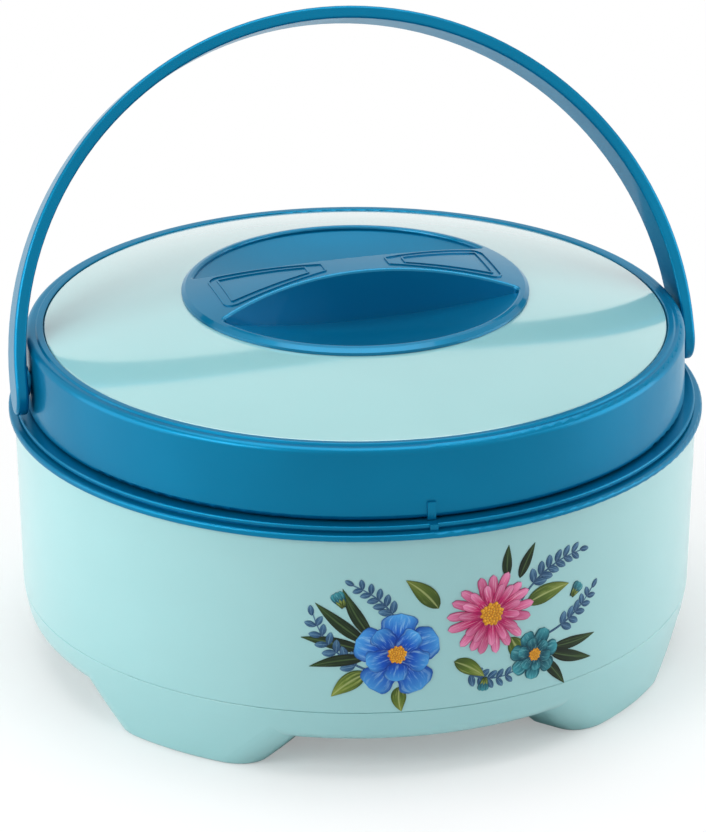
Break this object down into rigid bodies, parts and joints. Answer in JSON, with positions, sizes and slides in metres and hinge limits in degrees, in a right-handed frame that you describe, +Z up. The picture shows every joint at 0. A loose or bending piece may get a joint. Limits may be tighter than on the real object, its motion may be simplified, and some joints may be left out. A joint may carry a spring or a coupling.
{
  "type": "insulated chapati casserole",
  "caption": "Round insulated serving casserole with a steel bowl, a domed twist-on lid with a recessed grip, moulded feet and a swinging carrying bail.",
  "frame": {"origin": "on the table, under the centre of the round body: the lowest plane of the feet", "axes": "+Z up along the body's centre line, +X along the bail's pivot axis, -Y the front with the alignment marks"},
  "size_m": [0.2608, 0.2608, 0.2368],
  "materials": {
    "aqua_plastic": "gloss",
    "blue_plastic": "gloss",
    "bowl_steel": "satin",
    "screw_steel": "satin",
    "seal_rubber": "matte",
    "foam": "matte"
  },
  "bodies": {
    "body": {"base": "aqua_plastic", "base_screws": "screw_steel", "outer_shell": "aqua_plastic", "fill_plug": "aqua_plastic", "body_foam": "foam", "steel_bowl": "bowl_steel", "collar": "blue_plastic"},
    "seal": {"lid_seal": "seal_rubber"},
    "lid": {"lid_ring": "blue_plastic", "lid_inner": "blue_plastic", "lid_liner": "bowl_steel", "lid_foam": "foam", "lid_panel": "aqua_plastic", "lid_knob": "blue_plastic", "knob_screws": "screw_steel"},
    "bail": {"bail": "blue_plastic"}
  },
  "joints": [
    {"name": "lid_turn", "type": "hinge", "parent": "body", "child": "seal", "pos_m": [0, 0, 0.1065], "axis": [0, 0, 1], "range_deg": [-22, 0]},
    {"name": "lid_lift", "type": "slide", "parent": "seal", "child": "lid", "axis": [0, 0, 1], "range_m": [0, 0.1]},
    {"name": "bail_swing", "type": "hinge", "parent": "lid", "child": "bail", "pos_m": [0, 0, 0.1151], "axis": [1, 0, 0], "range_deg": [-66.3, 115.3]}
  ]
}
